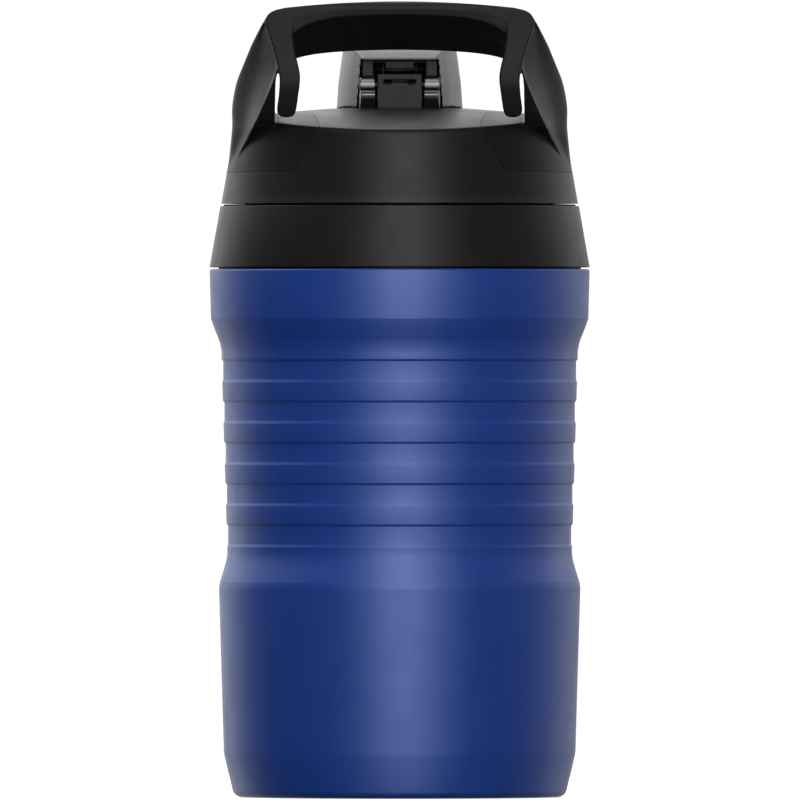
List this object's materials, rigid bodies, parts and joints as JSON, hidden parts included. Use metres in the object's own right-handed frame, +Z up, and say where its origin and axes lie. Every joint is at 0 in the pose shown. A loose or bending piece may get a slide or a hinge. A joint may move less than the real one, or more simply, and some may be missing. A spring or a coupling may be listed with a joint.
{
  "type": "insulated water jug",
  "caption": "Foam-insulated half-gallon sports jug: ribbed blue jacket, black screw lid, carry handle with fence hooks and sprung flip cap.",
  "frame": {"origin": "centre of the base, on the surface it stands on", "axes": "+Z up; the handle's hooks and the flip cap's hinge are at the back, -Y; the latch button is at the front, +Y"},
  "size_m": [0.146, 0.146, 0.3049],
  "materials": {
    "jacket": "satin moulded blue",
    "black": "satin moulded black",
    "black_gloss": "polished black",
    "liner": "smooth off-white",
    "foam": "closed-cell rigid foam",
    "silicone": "matte silicone",
    "steel": "drawn wire and pin stock"
  },
  "bodies": {
    "jug": {"outer_shell": "jacket", "inner_liner": "liner", "foam_insulation": "foam", "foam_plug": "black", "collar": "black"},
    "lid_seal": {"lid_gasket": "silicone"},
    "lid": {"lid_shell": "black", "lid_insert": "black", "spout": "black", "handle": "black", "hinge_pin": "steel", "torsion_spring_left": "steel", "torsion_spring_right": "steel", "button_spring": "steel", "handle_screw_1": "steel", "handle_screw_2": "steel", "handle_screw_3": "steel", "handle_screw_4": "steel"},
    "cap": {"cap_cover": "black", "cap_frame": "black", "cap_seal": "silicone"},
    "button": {"latch_button": "black_gloss"}
  },
  "joints": [
    {"name": "lid_lift", "type": "slide", "parent": "jug", "child": "lid_seal", "axis": [0, 0, 1], "range_m": [0, 0.0088]},
    {"name": "lid_turn", "type": "hinge", "parent": "lid_seal", "child": "lid", "pos_m": [0, 0, 0.24], "axis": [0, 0, 1], "range_deg": [0, 450]},
    {"name": "cap_hinge", "type": "hinge", "parent": "lid", "child": "cap", "pos_m": [0, -0.011, 0.2734], "axis": [1, 0, 0], "range_deg": [0, 100]},
    {"name": "button_push", "type": "slide", "parent": "lid", "child": "button", "axis": [0, -1, 0], "range_m": [0, 0.002], "stiffness_N_per_m": 300, "springref_m": -0.002, "deforming": ["button_spring"]}
  ],
  "couplings": [
    {"joint": "lid_lift", "follows": "lid_turn", "m_per_rad": 0.0011141}
  ]
}
